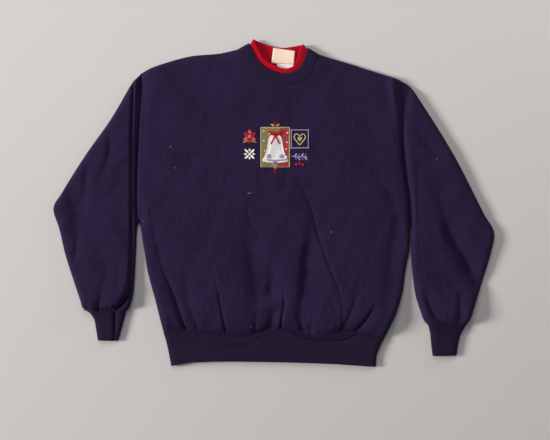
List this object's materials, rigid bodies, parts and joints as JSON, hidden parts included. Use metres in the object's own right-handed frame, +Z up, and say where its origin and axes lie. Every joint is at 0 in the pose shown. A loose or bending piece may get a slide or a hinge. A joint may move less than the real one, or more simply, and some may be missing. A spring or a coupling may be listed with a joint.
{
  "type": "christmas sweater laid flat",
  "caption": "Long-sleeved crew-neck sweatshirt laid flat on its back, with ribbed collar, cuffs and waistband, neck labels and an embroidered Christmas panel on the chest.",
  "frame": {"origin": "on the floor under the middle of the garment's box, at the underside of the back", "axes": "+Y towards the neck, +Z up from the floor through the back and then the front, +X towards the wearer's left sleeve"},
  "size_m": [0.9358, 0.6918, 0.027],
  "materials": {
    "navy_fleece": "brushed fleece jersey, matt with a soft fuzz",
    "navy_rib": "rib knit, matt",
    "red_rib": "rib knit, matt",
    "cream_label": "woven satin ribbon",
    "white_label": "woven ribbon",
    "embroidery": "embroidery thread with a soft sheen"
  },
  "bodies": {
    "root": {"front": "navy_fleece", "back": "navy_fleece", "right_sleeve": "navy_fleece", "left_sleeve": "navy_fleece", "waistband": "navy_rib", "right_cuff": "navy_rib", "left_cuff": "navy_rib", "outer_collar": "navy_rib", "inner_collar": "red_rib", "neck_label": "cream_label", "size_label": "white_label", "embroidered_panel": "embroidery"}
  },
  "joints": []
}
